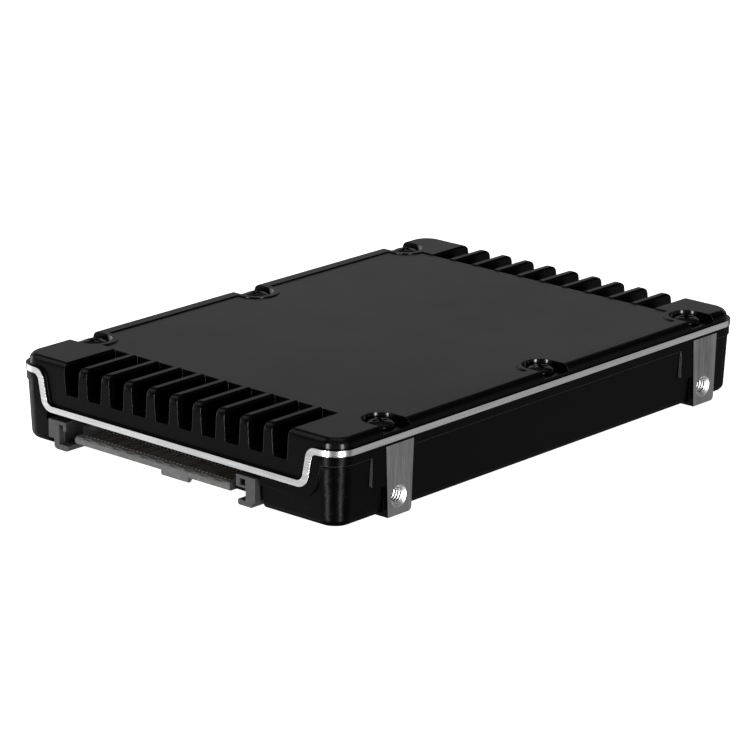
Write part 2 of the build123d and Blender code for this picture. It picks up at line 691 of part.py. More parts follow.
def connector_housing():
    """Plug moulding: tongue with contact grooves, key, guide arms and the body under the board."""
    left, right = PLUG_X - PLUG_HALF, PLUG_X + PLUG_HALF
    nose, back = -HY + 0.1, PLUG_BODY_FRONT + 0.1
    low = TONGUE_TOP - TONGUE_T
    tongue = block(PLUG_X - TONGUE_HALF, PLUG_X + TONGUE_HALF, nose, back, low, TONGUE_TOP)
    tongue = chamfer(tongue.edges().filter_by(Axis.X).group_by(Axis.Y)[0], TONGUE_NOSE)
    body = block(left, right, PLUG_BODY_FRONT, PLUG_BACK, TRAY_INSIDE_Z, MAIN_BOARD_Z)
    wall = block(left, right, PLUG_BODY_FRONT, MAIN_FRONT - 0.2, MAIN_BOARD_Z - 0.1, ARM_TOP)
    arms = left_arm(left, -HY, back) + right_arm(right, -HY, back)
    key = lower_contact_x()[3]
    key_block = block(key - KEY_HALF, key + KEY_HALF, nose, nose + KEY_DEPTH, low - KEY_DROP, low + 0.3)
    key_block = chamfer(key_block.edges().filter_by(Axis.X).group_by(Axis.Z)[0], TONGUE_NOSE)
    floor_y = -HY + NOTCH_DEPTH - FLOOR_CLEAR
    under = block(left - 1, right + 1, floor_y, PLUG_BACK, -1, TRAY_INSIDE_Z + FLOOR_CLEAR)
    housing = tongue + body + wall + arms + key_block - under
    return housing - upper_contacts() - lower_contacts() - contact_grooves() - lock_cuts()


def contact_grooves():
    """Grooves that open the contacts to the top and the underside of the tongue."""
    power, signal, extra, _ = lower_contact_x()
    y0, y1 = -HY + CONTACT_FROM_NOSE, PLUG_BODY_FRONT
    low = TONGUE_TOP - TONGUE_T
    lanes = [(x, UPPER_W, TONGUE_TOP - CONTACT_SINK, TONGUE_TOP + 0.1) for x in upper_contact_x()]
    lanes += [(x, LOWER_W, low - 0.1, low + CONTACT_SINK) for x in power + signal]
    lanes += [(x, UPPER_W, low - 0.1, low + CONTACT_SINK) for x in extra]
    return [block(x - w / 2, x + w / 2, y0, y1, z0, z1) for x, w, z0, z1 in lanes]


def lock_cuts():
    """Holes for the board locks."""
    return [rod(x, y, TONGUE_TOP, HEIGHT, LOCK_R) for x, y in lock_places()]


# ---------------------------------------------------------------- whole drive

def nodes():
    """Every node of the drive by name."""
    nand = package(CHIP_W, CHIP_L, CHIP_H)
    top_row, low_rows = CHIP_Y[0], CHIP_Y[1:]
    everywhere = grid(CHIP_X, CHIP_Y, 0)
    beside = (CONTROLLER + CHIP_W) / 2 + CHIP_GAP_X / 2
    main_low = grid((-beside, beside), (top_row,), 0) + grid(CHIP_X, low_rows, 0)
    main_high = grid(CHIP_X, low_rows, 0)
    lid_z = MAIN_BOARD_Z - SUBSTRATE_T - LID_T
    power_y = (MAIN_FRONT + LINK_Y - LINK[1] / 2) / 2
    floor_pad = pad(CHIP_W, CHIP_L, TRAY_INSIDE_Z, MAIN_BOARD_Z - CHIP_H)
    middle_pad = pad(CHIP_W, CHIP_L, MAIN_TOP + CHIP_H, MEMORY_BOTTOM - CHIP_H)
    roof_pad = pad(CHIP_W, CHIP_L, MEMORY_TOP + CHIP_H, ROOF_UNDER)
    return {
        "top_cover": top_cover(),
        "base_tray": base_tray(),
        "cover_screws": copies(
            cover_screw(), [(x, y, POCKET_FLOOR) for y in SCREW_Y for x in (-SCREW_X, SCREW_X)]
        ),
        "underside_label": under_label(),
        "connector_housing": connector_housing(),
        "upper_contacts": solids_of(upper_contacts()),
        "lower_contacts": solids_of(lower_contacts()),
        "connector_locks": solids_of([board_lock(x, y) for x, y in lock_places()]),
        "main_board": main_board(),
        "memory_board": memory_board(),
        "board_spacers": copies(spacer(), board_places(MAIN_TOP)),
        "board_screws": copies(board_screw(), board_places(MEMORY_TOP)),
        "board_link_plug": board_plug(),
        "board_link_socket": board_socket(),
        "controller_substrate": Pos(0, top_row, MAIN_BOARD_Z - SUBSTRATE_T / 2)
        * Box(CONTROLLER, CONTROLLER, SUBSTRATE_T),
        "controller_lid": Pos(0, top_row, MAIN_BOARD_Z - SUBSTRATE_T) * flipped(package(LID, LID, LID_T)),
        "controller_pad": Pos(0, top_row, 0) * pad(LID, LID, lid_z - PAD_T, lid_z),
        "main_flash_lower": copies(flipped(nand), [(x, y, MAIN_BOARD_Z) for x, y, _ in main_low]),
        "main_flash_upper": copies(nand, [(x, y, MAIN_TOP) for x, y, _ in main_high]),
        "memory_flash_lower": copies(flipped(nand), [(x, y, MEMORY_BOTTOM) for x, y, _ in everywhere]),
        "memory_flash_upper": copies(nand, [(x, y, MEMORY_TOP) for x, y, _ in everywhere]),
        "floor_pads": copies(floor_pad, main_low),
        "middle_pads": copies(middle_pad, main_high),
        "roof_pads": copies(roof_pad, everywhere),
        "buffer_memory": copies(package(*DRAM), [(x, top_row, MAIN_TOP) for x in dram_x()]),
        "holdup_capacitors": copies(capacitor(), capacitor_places()),
        "capacitor_tabs": solids_of(
            [Pos(*place) * tab for place in capacitor_places() for tab in capacitor_tabs()]
        ),
        "power_inductors": copies(inductor(), power_row(power_y + PHASE_OFFSET)),
        "power_regulators": copies(package(*REGULATOR), power_row(power_y - PHASE_OFFSET)),
        "boot_memory": Pos(POST_X - SMALL_PART_FROM_POST, LINK_Y, MAIN_TOP) * package(*BOOT_MEMORY),
        "clock_crystal": Pos(SMALL_PART_FROM_POST - POST_X, LINK_Y, MAIN_TOP) * crystal(),
        "bypass_capacitors": small_chips(),
    }


if __name__ == "__main__":
    os.makedirs("parts", exist_ok=True)
    for name, shape in nodes().items():
        export_step(shape, f"parts/{name}.step")
        print(name, len(shape.solids()), round(shape.volume, 1))
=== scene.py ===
"""Looks of a flat solid state drive with a finned cover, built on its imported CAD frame.

The castings, screws, plug and contacts are rebuilt as finished pieces with eased edges. The parts
inside the case keep their CAD shapes and get finishes of their own.
"""
from __future__ import annotations

import json
import logging
import math
from contextlib import contextmanager
from dataclasses import dataclass, field
from enum import Enum
from typing import Callable, Iterator, Sequence

import bpy
from mathutils import Matrix, Vector

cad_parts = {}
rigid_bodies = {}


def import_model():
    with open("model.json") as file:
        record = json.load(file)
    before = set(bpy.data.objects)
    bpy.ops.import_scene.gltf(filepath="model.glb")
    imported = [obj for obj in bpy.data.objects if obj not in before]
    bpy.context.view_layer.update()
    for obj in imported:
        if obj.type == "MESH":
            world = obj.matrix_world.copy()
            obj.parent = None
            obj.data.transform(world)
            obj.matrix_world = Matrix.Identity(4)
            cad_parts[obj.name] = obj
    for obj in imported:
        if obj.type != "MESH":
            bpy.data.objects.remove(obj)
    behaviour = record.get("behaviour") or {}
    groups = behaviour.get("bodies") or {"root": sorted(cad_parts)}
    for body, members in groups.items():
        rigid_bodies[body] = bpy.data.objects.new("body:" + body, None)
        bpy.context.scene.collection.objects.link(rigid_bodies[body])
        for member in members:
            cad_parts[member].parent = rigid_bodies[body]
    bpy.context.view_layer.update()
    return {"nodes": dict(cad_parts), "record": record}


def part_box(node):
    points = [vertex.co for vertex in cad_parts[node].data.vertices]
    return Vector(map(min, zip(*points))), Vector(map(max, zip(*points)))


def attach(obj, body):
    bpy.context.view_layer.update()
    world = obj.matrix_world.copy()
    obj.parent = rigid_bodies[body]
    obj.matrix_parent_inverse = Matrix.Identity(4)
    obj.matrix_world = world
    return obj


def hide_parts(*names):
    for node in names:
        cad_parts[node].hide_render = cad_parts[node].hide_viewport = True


LOG = logging.getLogger("drive")
MM = 0.001
BODY = "root"
Colour = tuple[float, float, float]
FaceTest = Callable[[Vector, Vector], bool]


# ---------------------------------------------------------------- shader maths


class Graph:
    """One material's node tree, with its Principled shader ready to be fed."""

    def __init__(self, name: str) -> None:
        """Start a material.

        Args:
            name: The finish's name.
        """
        self.material = bpy.data.materials.new(name)
        self.material.use_nodes = True
        self.tree = self.material.node_tree
        self.shader = self.tree.nodes["Principled BSDF"]

    def node(self, kind: str, settings: dict | None = None, **sockets: object) -> bpy.types.Node:
        """Add a node.

        Args:
            kind: The node's type.
            settings: Properties set before the sockets are fed.
            sockets: Socket names, with spaces as underscores, and a number, a tuple or a link.

        Returns:
            The new node.
        """
        made = self.tree.nodes.new(kind)
        for key, value in (settings or {}).items():
            setattr(made, key, value)
        for key, value in sockets.items():
            self.feed(made.inputs[key.replace("_", " ")], value)
        return made

    def feed(self, socket: bpy.types.NodeSocket, value: object) -> None:
        """Link a socket, or set it where the value is a plain one."""
        if isinstance(value, Wire):
            value = value.socket
        if isinstance(value, bpy.types.NodeSocket):
            self.tree.links.new(value, socket)
        else:
            socket.default_value = value

    def place(self, scale: Sequence[float]) -> bpy.types.NodeSocket:
        """Object coordinates, stretched per axis.

        Args:
            scale: Cycles per metre along X, Y and Z.

        Returns:
            The mapped coordinates.
        """
        where = self.node("ShaderNodeTexCoord").outputs["Object"]
        return self.node("ShaderNodeMapping", None, Vector=where, Scale=scale).outputs["Vector"]

    def noise(self, vector: bpy.types.NodeSocket, detail: float = 3.0, rough: float = 0.55) -> Wire:
        """Noise from 0 to 1 on mapped coordinates."""
        made = self.node("ShaderNodeTexNoise", None, Vector=vector, Scale=1.0, Detail=detail, Roughness=rough)
        return Wire(self, made.outputs["Fac"])

    def cells(self, vector: bpy.types.NodeSocket) -> Wire:
        """Distance to the nearest cell point on mapped coordinates."""
        made = self.node("ShaderNodeTexVoronoi", {"feature": "F1"}, Vector=vector, Scale=1.0)
        return Wire(self, made.outputs["Distance"])

    def blend(self, low: object, high: object, factor: object) -> bpy.types.NodeSocket:
        """Mix two colours by a factor."""
        mix = self.tree.nodes.new("ShaderNodeMix")
        mix.data_type = "RGBA"
        for index, value in ((0, factor), (6, low), (7, high)):
            if isinstance(value, tuple) and len(value) == 3:
                value = (*value, 1.0)
            self.feed(mix.inputs[index], value)
        return mix.outputs[2]

    def bump(self, height: Wire, depth_mm: float, strength: float) -> bpy.types.NodeSocket:
        """Turn a height into a normal."""
        made = self.node("ShaderNodeBump", None, Height=height, Distance=depth_mm * MM, Strength=strength)
        return made.outputs["Normal"]

    def set(self, **sockets: object) -> bpy.types.Material:
        """Feed the shader's sockets, with spaces as underscores, and give back the material."""
        for key, value in sockets.items():
            if isinstance(value, tuple) and len(value) == 3:
                value = (*value, 1.0)
            self.feed(self.shader.inputs[key.replace("_", " ")], value)
        return self.material


class Wire:
    """A number that varies over a surface. Python's operators add Math nodes."""

    def __init__(self, graph: Graph, socket: bpy.types.NodeSocket) -> None:
        """Wrap a value socket of a graph."""
        self.graph = graph
        self.socket = socket

    def _math(self, operation: str, first: object, second: object) -> Wire:
        """Add a Math node on two values."""
        made = self.graph.tree.nodes.new("ShaderNodeMath")
        made.operation = operation
        self.graph.feed(made.inputs[0], first)
        self.graph.feed(made.inputs[1], second)
        return Wire(self.graph, made.outputs[0])

    def __add__(self, other: object) -> Wire:
        """Sum."""
        return self._math("ADD", self, other)

    __radd__ = __add__

    def __sub__(self, other: object) -> Wire:
        """Difference."""
        return self._math("SUBTRACT", self, other)

    def __rsub__(self, other: object) -> Wire:
        """Reflected difference."""
        return self._math("SUBTRACT", other, self)

    def __mul__(self, other: object) -> Wire:
        """Product."""
        return self._math("MULTIPLY", self, other)

    __rmul__ = __mul__

    def above(self, edge: float, soft: float) -> Wire:
        """Mask that rises from 0 to 1 around an edge.

        Args:
            edge: Where the mask is one half.
            soft: The width of the rise.

        Returns:
            The mask.
        """
        low, high = edge - soft / 2, edge + soft / 2
        made = self.graph.node("ShaderNodeMapRange", {"clamp": True}, Value=self, From_Min=low, From_Max=high)
        return Wire(self.graph, made.outputs["Result"])


# ---------------------------------------------------------------- finishes


class CoverCoat(Enum):
    """Finishes of the cover, by their place in its material list."""

    CROWN_PAINT = 0
    MACHINED_EDGE = 1
    # painted light: a lighter copy of the cover paint on the top field
    FIELD_PAINTED_LIGHT = 2
    POCKET_PAINT = 3
    EDGE_PAINT = 4


class TrayCoat(Enum):
    """Finishes of the tray, by their place in its material list."""

    WALL_PAINT = 0
    MILLED_LUG = 1
    TAPPED_BORE = 2
    # painted highlight along the rim's lower edge and the pad flanks
    EDGE_HIGHLIGHT = 3
    # painted shade on the tapped holes' walls
    BORE_SHADE = 4


class PlugCoat(Enum):
    """Finishes of the plug moulding, by their place in its material list."""

    PLUG_PLASTIC = 0
    # painted light on the tongue's front lip
    PLUG_NOSE_PAINTED_LIGHT = 1
    # painted light on the tongue's ribs and the wall behind them
    PLUG_COMB_PAINTED_LIGHT = 2
    # painted shade deep in the gap beside the tongue
    PLUG_SHADE = 3


class Grain(Enum):
    """Direction of the tool marks on bare metal, as stretch per axis."""

    ALONG_EDGE = (90.0, 90.0, 5200.0)
    UPRIGHT = (2600.0, 2600.0, 90.0)
    TURNED = (2600.0, 2600.0, 2600.0)
    ACROSS = (160.0, 5200.0, 5200.0)


@dataclass(frozen=True)
class Paint:
    """Satin coat on a casting: fine peel, faint cloudy sheen and a few dust specks."""

    name: str
    colour: Colour
    rough: float = 0.42
    specular: float = 0.2
    peel_mm: float = 0.006
    peel_per_m: float = 2400
    cloud_per_m: float = 45
    speck_per_m: float = 900
    dust: float = 0.008

    def make(self) -> bpy.types.Material:
        """Build the material."""
        graph = Graph(self.name)
        peel = graph.noise(graph.place((self.peel_per_m,) * 3), 2.0)
        cloud = graph.noise(graph.place((self.cloud_per_m,) * 3), 4.0, 0.6)
        speck = graph.cells(graph.place((self.speck_per_m,) * 3)).above(0.07, 0.03)
        lighter = tuple(1.3 * c + 0.0003 for c in self.colour)
        dust = tuple(c + self.dust for c in self.colour)
        tone = graph.blend(self.colour, lighter, cloud.above(0.5, 0.5))
        return graph.set(
            Base_Color=graph.blend(dust, tone, speck),
            Roughness=self.rough + (cloud - 0.5) * 0.10 + (peel - 0.5) * 0.06,
            Specular_IOR_Level=self.specular,
            Normal=graph.bump(peel, self.peel_mm, 0.5),
        )


@dataclass(frozen=True)
class BareMetal:
    """Machined or drawn metal with tool marks in one direction."""

    name: str
    colour: Colour
    grain: Grain = Grain.TURNED
    rough: float = 0.3
    depth_mm: float = 0.004
    stain: float = 0.12
    wide_share: float = 0.18
    cloud_per_m: float = 170

    def make(self) -> bpy.types.Material:
        """Build the material."""
        graph = Graph(self.name)
        marks = graph.noise(graph.place(self.grain.value), 4.0, 0.7)
        wide = graph.noise(graph.place(tuple(s * self.wide_share for s in self.grain.value)), 2.0)
        cloud = graph.noise(graph.place((self.cloud_per_m,) * 3), 3.0)
        dark = tuple(c * (1 - self.stain) * 0.8 for c in self.colour)
        tone = marks * 0.6 + wide * 0.25 + cloud * 0.15
        return graph.set(
            Base_Color=graph.blend(dark, self.colour, tone.above(0.45, 0.35)),
            Metallic=1.0,
            Roughness=self.rough + (marks - 0.5) * 0.22 + (cloud - 0.5) * 0.1,
            Normal=graph.bump(marks + wide, self.depth_mm, 0.6),
        )


@dataclass(frozen=True)
class Moulding:
    """Moulded plastic, epoxy, ferrite or ceramic: spark grain, flow clouds and pale flecks."""

    name: str
    colour: Colour
    rough: float = 0.5
    grain_per_m: float = 3000.0
    fleck: float = 0.15
    depth_mm: float = 0.008
    specular: float = 0.4

    def make(self) -> bpy.types.Material:
        """Build the material."""
        graph = Graph(self.name)
        grain = graph.noise(graph.place((self.grain_per_m,) * 3), 3.0)
        flow = graph.noise(graph.place((260, 90, 400)), 3.0)
        pale = tuple(min(1.0, c * (1 + self.fleck) + 0.01) for c in self.colour)
        dark = tuple(c * (1 - self.fleck) for c in self.colour)
        tone = graph.blend(dark, self.colour, flow.above(0.45, 0.5))
        return graph.set(
            Base_Color=graph.blend(tone, pale, grain.above(0.62, 0.16)),
            Roughness=self.rough + (grain - 0.5) * 0.2 + (flow - 0.5) * 0.08,
            Specular_IOR_Level=self.specular,
            Normal=graph.bump(grain, self.depth_mm, 0.7),
        )


@dataclass(frozen=True)
class SolderMask:
    """Circuit board coat with raised tracks under it and plated vias."""

    name: str
    colour: Colour
    over_copper: Colour = (0.03, 0.16, 0.08)
    via: Colour = (0.55, 0.46, 0.26)

    def make(self) -> bpy.types.Material:
        """Build the material."""
        graph = Graph(self.name)
        wobble = graph.noise(graph.place((70, 70, 10)), 1.0)
        lanes = graph.place((420, 60, 0))
        run = graph.node("ShaderNodeTexWave", {"bands_direction": "X"}, Vector=lanes, Scale=1.0)
        tracks = (Wire(graph, run.outputs["Fac"]) + (wobble - 0.5) * 0.3).above(0.62, 0.06)
        vias = graph.cells(graph.place((520, 520, 0))).above(0.16, 0.03)
        tone = graph.blend(self.colour, self.over_copper, tracks * wobble.above(0.42, 0.05))
        return graph.set(
            Base_Color=graph.blend(self.via, tone, vias),
            Roughness=0.32 + wobble * 0.08,
            Normal=graph.bump(tracks, 0.02, 0.5),
        )


@dataclass(frozen=True)
class SoftPad:
    """Filled silicone pad: matt, dimpled by its liner."""

    name: str
    colour: Colour

    def make(self) -> bpy.types.Material:
        """Build the material."""
        graph = Graph(self.name)
        dimple = graph.cells(graph.place((1500, 1500, 1500)))
        cloud = graph.noise(graph.place((300, 300, 300)), 4.0)
        pale = tuple(c * 1.2 for c in self.colour)
        return graph.set(
            Base_Color=graph.blend(self.colour, pale, cloud.above(0.5, 0.3)),
            Roughness=0.75 + cloud * 0.1,
            Normal=graph.bump(dimple + cloud * 0.4, 0.03, 0.6),
        )


@dataclass(frozen=True)
class Film:
    """Plain label film: fine fibre, a satin coat and soft rub marks."""

    name: str
    colour: Colour

    def make(self) -> bpy.types.Material:
        """Build the material."""
        graph = Graph(self.name)
        fibre = graph.noise(graph.place((1800, 420, 1800)), 5.0, 0.7)
        rub = graph.noise(graph.place((40, 160, 10)), 4.0, 0.7)
        dark = tuple(c * 0.88 for c in self.colour)
        return graph.set(
            Base_Color=graph.blend(dark, self.colour, (fibre * 0.5 + rub * 0.5).above(0.46, 0.2)),
            Roughness=0.42 + rub * 0.2,
            Normal=graph.bump(fibre, 0.004, 0.5),
        )


@dataclass
class Finishes:
    """Every finish of the drive, made once and handed out by name."""

    recipes: Sequence[object] = (
        Paint("crown_paint", (0.0007, 0.0007, 0.0008), 0.24, 0.068),
        # painted light: a lighter, glossier copy of the cover paint for the top field, standing in for the
        # light the top catches
        Paint("field_painted_light", (0.0024, 0.0024, 0.0032), 0.32, 0.125),
        Paint("wall_paint", (0.0005, 0.0005, 0.0006), 0.27, 0.052, 0.003),
        # painted highlight: a light grey copy of the tray paint for the rim's lower edge and the pads' flanks
        Paint("edge_highlight", (0.0140, 0.0140, 0.0148), 0.32, 0.30, 0.003),
        Paint("edge_paint", (0.0020, 0.0020, 0.0021), 0.20, 0.24, 0.003),
        Paint("pocket_paint", (0.0008, 0.0008, 0.0009), 0.16, 0.45, 0.003),
        Paint("screw_coat", (0.0008, 0.0008, 0.0010), 0.18, 0.12, 0.002),
        BareMetal("machined_edge", (0.80, 0.80, 0.81), Grain.ALONG_EDGE, 0.25, 0.006, 0.25),
        BareMetal("milled_lug", (0.42, 0.42, 0.43), Grain.UPRIGHT, 0.38, 0.014, 0.7),
        BareMetal("tapped_bore", (0.90, 0.90, 0.90), Grain.TURNED, 0.44),
        # painted shade: a dark copy of the bore metal for the walls deep in the tapped holes
        BareMetal("bore_shade", (0.10, 0.10, 0.10), Grain.TURNED, 0.50),
        # painted shade: the contact gold is darkened to brown for the shade under the cover's overhang
        BareMetal("gold_plate_painted_shade", (0.42, 0.25, 0.11), Grain.ACROSS, 0.45, 0.002),
        # painted highlight: a pale, near-white gold that stands in for the glints on the contact tips
        BareMetal("gold_tip_painted_highlight", (0.98, 0.84, 0.70), Grain.TURNED, 0.62, 0.002),
        BareMetal("tin_plate", (0.70, 0.70, 0.68), Grain.TURNED, 0.36),
        BareMetal("turned_brass", (0.76, 0.58, 0.28), Grain.TURNED, 0.30),
        BareMetal("zinc_plate", (0.60, 0.60, 0.62), Grain.TURNED, 0.38),
        BareMetal("blasted_lid", (0.62, 0.62, 0.63), Grain.TURNED, 0.45, 0.010),
        BareMetal("satin_can", (0.66, 0.66, 0.66), Grain.ACROSS, 0.33),
        Moulding("plug_plastic", (0.034, 0.034, 0.036), 0.44),
        # painted light: a lighter copy of the plug plastic for the tongue's front lip
        Moulding("plug_nose_painted_light", (0.085, 0.086, 0.084), 0.50, 1500.0, 0.35, 0.02),
        # painted light: the lightest copy of the plug plastic, for the ribs and wall that sit in the apron's
        # shadow
        Moulding("plug_comb_painted_light", (0.120, 0.120, 0.122), 0.55),
        # painted shade: a near-black copy of the plug plastic for the gap beside the tongue
        Moulding("plug_shade", (0.010, 0.010, 0.011), 0.60),
        Moulding("link_plastic", (0.50, 0.46, 0.38), 0.52),
        Moulding("chip_epoxy", (0.028, 0.028, 0.030), 0.56, 2400.0, 0.3, 0.006),
        Moulding("capacitor_epoxy", (0.055, 0.050, 0.045), 0.44, 2000.0, 0.2),
        Moulding("ferrite", (0.085, 0.085, 0.090), 0.62, 3600.0, 0.35, 0.015),
        Moulding("ceramic", (0.42, 0.30, 0.19), 0.40, 2800.0, 0.1),
        Moulding("laminate", (0.020, 0.110, 0.060), 0.42, 1400.0, 0.2),
        SolderMask("board_mask", (0.010, 0.055, 0.030)),
        SoftPad("gap_pad", (0.36, 0.39, 0.44)),
        Film("label_film", (0.62, 0.62, 0.60)),
    )
    made: dict[str, bpy.types.Material] = field(default_factory=dict)

    def __getitem__(self, name: str) -> bpy.types.Material:
        """The material of that name, built the first time it is asked for."""
        if name not in self.made:
            recipe = next(r for r in self.recipes if r.name == name)
            self.made[name] = recipe.make()
        return self.made[name]


# ---------------------------------------------------------------- modelling


@contextmanager
def editing(obj: bpy.types.Object) -> Iterator[bpy.types.Object]:
    """Edit mode on one object alone, with all of it selected."""
    pick(obj)
    bpy.ops.object.mode_set(mode="EDIT")
    bpy.ops.mesh.select_mode(type="VERT")
    bpy.ops.mesh.select_all(action="SELECT")
    yield obj
    bpy.ops.object.mode_set(mode="OBJECT")


def pick(*objs: bpy.types.Object) -> None:
    """Select these objects alone and make the first one active."""
    for other in bpy.context.view_layer.objects:
        other.select_set(False)
    for obj in objs:
        obj.select_set(True)
    bpy.context.view_layer.objects.active = objs[0]


def select_faces(obj: bpy.types.Object, test: FaceTest) -> None:
    """Select in object mode the faces whose centre and normal pass a test."""
    mesh = obj.data
    for item in (*mesh.vertices, *mesh.edges):
        item.select = False
    for face in mesh.polygons:
        face.select = test(face.center, face.normal)


def apply_modifier(obj: bpy.types.Object, kind: str, **settings: object) -> None:
    """Add a modifier with its settings and apply it."""
    pick(obj)
    made = obj.modifiers.new(kind.lower(), kind)
    for key, value in settings.items():
        setattr(made, key, value)
    bpy.ops.object.modifier_apply(modifier=made.name)


def copied(node: bpy.types.Object, name: str) -> bpy.types.Object:
    """A merged copy of a CAD node, its flat faces whole again.

    Args:
        node: The CAD node.
        name: The new piece's name.

    Returns:
        The new piece, with no material.
    """
    piece = bpy.data.objects.new(name, node.data.copy())
    bpy.context.scene.collection.objects.link(piece)
    piece.data.materials.clear()
    with editing(piece):
        bpy.ops.mesh.customdata_custom_splitnormals_clear()
        bpy.ops.mesh.remove_doubles(threshold=0.002 * MM)
        bpy.ops.mesh.dissolve_limited(angle_limit=math.radians(0.6))
    return piece


def ease(piece: bpy.types.Object, width_mm: float, segments: int = 2, angle: float = 32.0) -> None:
    """Round every sharp edge by a little, so that it catches light."""
    apply_modifier(
        piece, "BEVEL", width=width_mm * MM, segments=segments, limit_method="ANGLE",
        angle_limit=math.radians(angle), use_clamp_overlap=False, harden_normals=False,
        miter_outer="MITER_ARC",
    )


def smooth(piece: bpy.types.Object, angle: float = 38.0) -> None:
    """Smooth shading, with edges over an angle kept sharp and flat faces shaded flat."""
    pick(piece)
    bpy.ops.object.shade_smooth_by_angle(angle=math.radians(angle))
    apply_modifier(piece, "WEIGHTED_NORMAL", mode="FACE_AREA", weight=50, keep_sharp=True)


def joined(pieces: Sequence[bpy.types.Object], name: str) -> bpy.types.Object:
    """Join pieces into one of a given name."""
    pick(*pieces)
    if len(pieces) > 1:
        bpy.ops.object.join()
    pieces[0].name = name
    return pieces[0]


def moved(obj: bpy.types.Object, matrix: Matrix, name: str) -> bpy.types.Object:
    """A copy of a piece with its own mesh, its place put into the mesh."""
    piece = bpy.data.objects.new(name, obj.data.copy())
    bpy.context.scene.collection.objects.link(piece)
    piece.data.transform(matrix)
    return piece


def turned(name: str, profile: Sequence[tuple[float, float]], sides: int = 40) -> bpy.types.Object:
    """A solid of revolution about Z, drawn up ring by ring from its first ring.

    Args:
        name: The piece's name.
        profile: Radius and height of each ring in millimetres, bottom to top.
        sides: Faces round the axis.

    Returns:
        The solid, closed at both ends.
    """
    radius, height = profile[0]
    bpy.ops.mesh.primitive_circle_add(
        vertices=sides, radius=radius * MM, fill_type="NGON", location=(0, 0, height * MM)
    )
    obj = bpy.context.active_object
    obj.name = name
    pick(obj)
    bpy.ops.object.transform_apply(location=True, rotation=True, scale=True)
    with editing(obj):
        for (r0, z0), (r1, z1) in zip(profile, profile[1:]):
            bpy.ops.mesh.extrude_region_move(TRANSFORM_OT_translate={"value": (0, 0, (z1 - z0) * MM)})
            grow = r1 / r0
            bpy.ops.transform.resize(value=(grow, grow, 1), center_override=(0, 0, z1 * MM))
        bpy.ops.mesh.select_all(action="SELECT")
        bpy.ops.mesh.normals_make_consistent(inside=False)
    return obj


def bar(name: str, low: Sequence[float], high: Sequence[float], taper: float = 1.0) -> bpy.types.Object:
    """A bar between two corners in millimetres, its lower face drawn in by a taper.

    Args:
        name: The piece's name.
        low: Lowest corner.
        high: Highest corner.
        taper: Size of the lower face over the upper one.

    Returns:
        The bar.
    """
    bpy.ops.mesh.primitive_cube_add(size=1)
    obj = bpy.context.active_object
    obj.name = name
    size = [(b - a) * MM for a, b in zip(low, high)]
    middle = [(b + a) / 2 * MM for a, b in zip(low, high)]
    obj.data.transform(Matrix.Translation(middle) @ Matrix.Diagonal((*size, 1)))
    select_faces(obj, lambda centre, normal: normal.z < -0.5)
    pick(obj)
    bpy.ops.object.mode_set(mode="EDIT")
    bpy.ops.mesh.select_mode(type="FACE")
    bpy.ops.transform.resize(value=(taper, taper, 1), center_override=(middle[0], middle[1], low[2] * MM))
    bpy.ops.object.mode_set(mode="OBJECT")
    return obj


def cut(piece: bpy.types.Object, tool: bpy.types.Object) -> None:
    """Take a tool's volume out of a piece and throw the tool away."""
    apply_modifier(piece, "BOOLEAN", object=tool, operation="DIFFERENCE", solver="EXACT")
    bpy.data.objects.remove(tool)


def finish_piece(
    piece: bpy.types.Object, replaces: Sequence[str], material: bpy.types.Material | None = None
) -> None:
    """Fix a finished piece to the drive.

    Args:
        piece: The piece.
        replaces: The CAD nodes that it stands for.
        material: Its material, where it has none yet.
    """
    if material:
        piece.data.materials.append(material)
    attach(piece, BODY)
    if replaces:
        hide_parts(*replaces)
    LOG.info("%s: %d faces", piece.name, len(piece.data.polygons))


def dress(piece: bpy.types.Object, finishes: Finishes, coats: type[Enum]) -> None:
    """Put a piece's finishes on it, in the order of its coats."""
    for coat in coats:
        piece.data.materials.append(finishes[coat.name.lower()])


def give(piece: bpy.types.Object, coat: Enum, test: FaceTest) -> None:
    """Give one of a piece's coats to the faces that pass a test."""
    for face in piece.data.polygons:
        if test(face.center, face.normal):
            face.material_index = coat.value


# ---------------------------------------------------------------- sub-assemblies


@dataclass
class Outline:
    """The drive's rounded outline, seen from above."""

    half_x: float
    half_y: float
    corner: float = 4.1 * MM

    def inside(self, at: Vector) -> float:
        """How far a point lies inside the outline, in metres."""
        x = abs(at.x) - (self.half_x - self.corner)
        y = abs(at.y) - (self.half_y - self.corner)
        if x > 0 and y > 0:
            return self.corner - math.hypot(x, y)
        return self.corner - max(x, y)


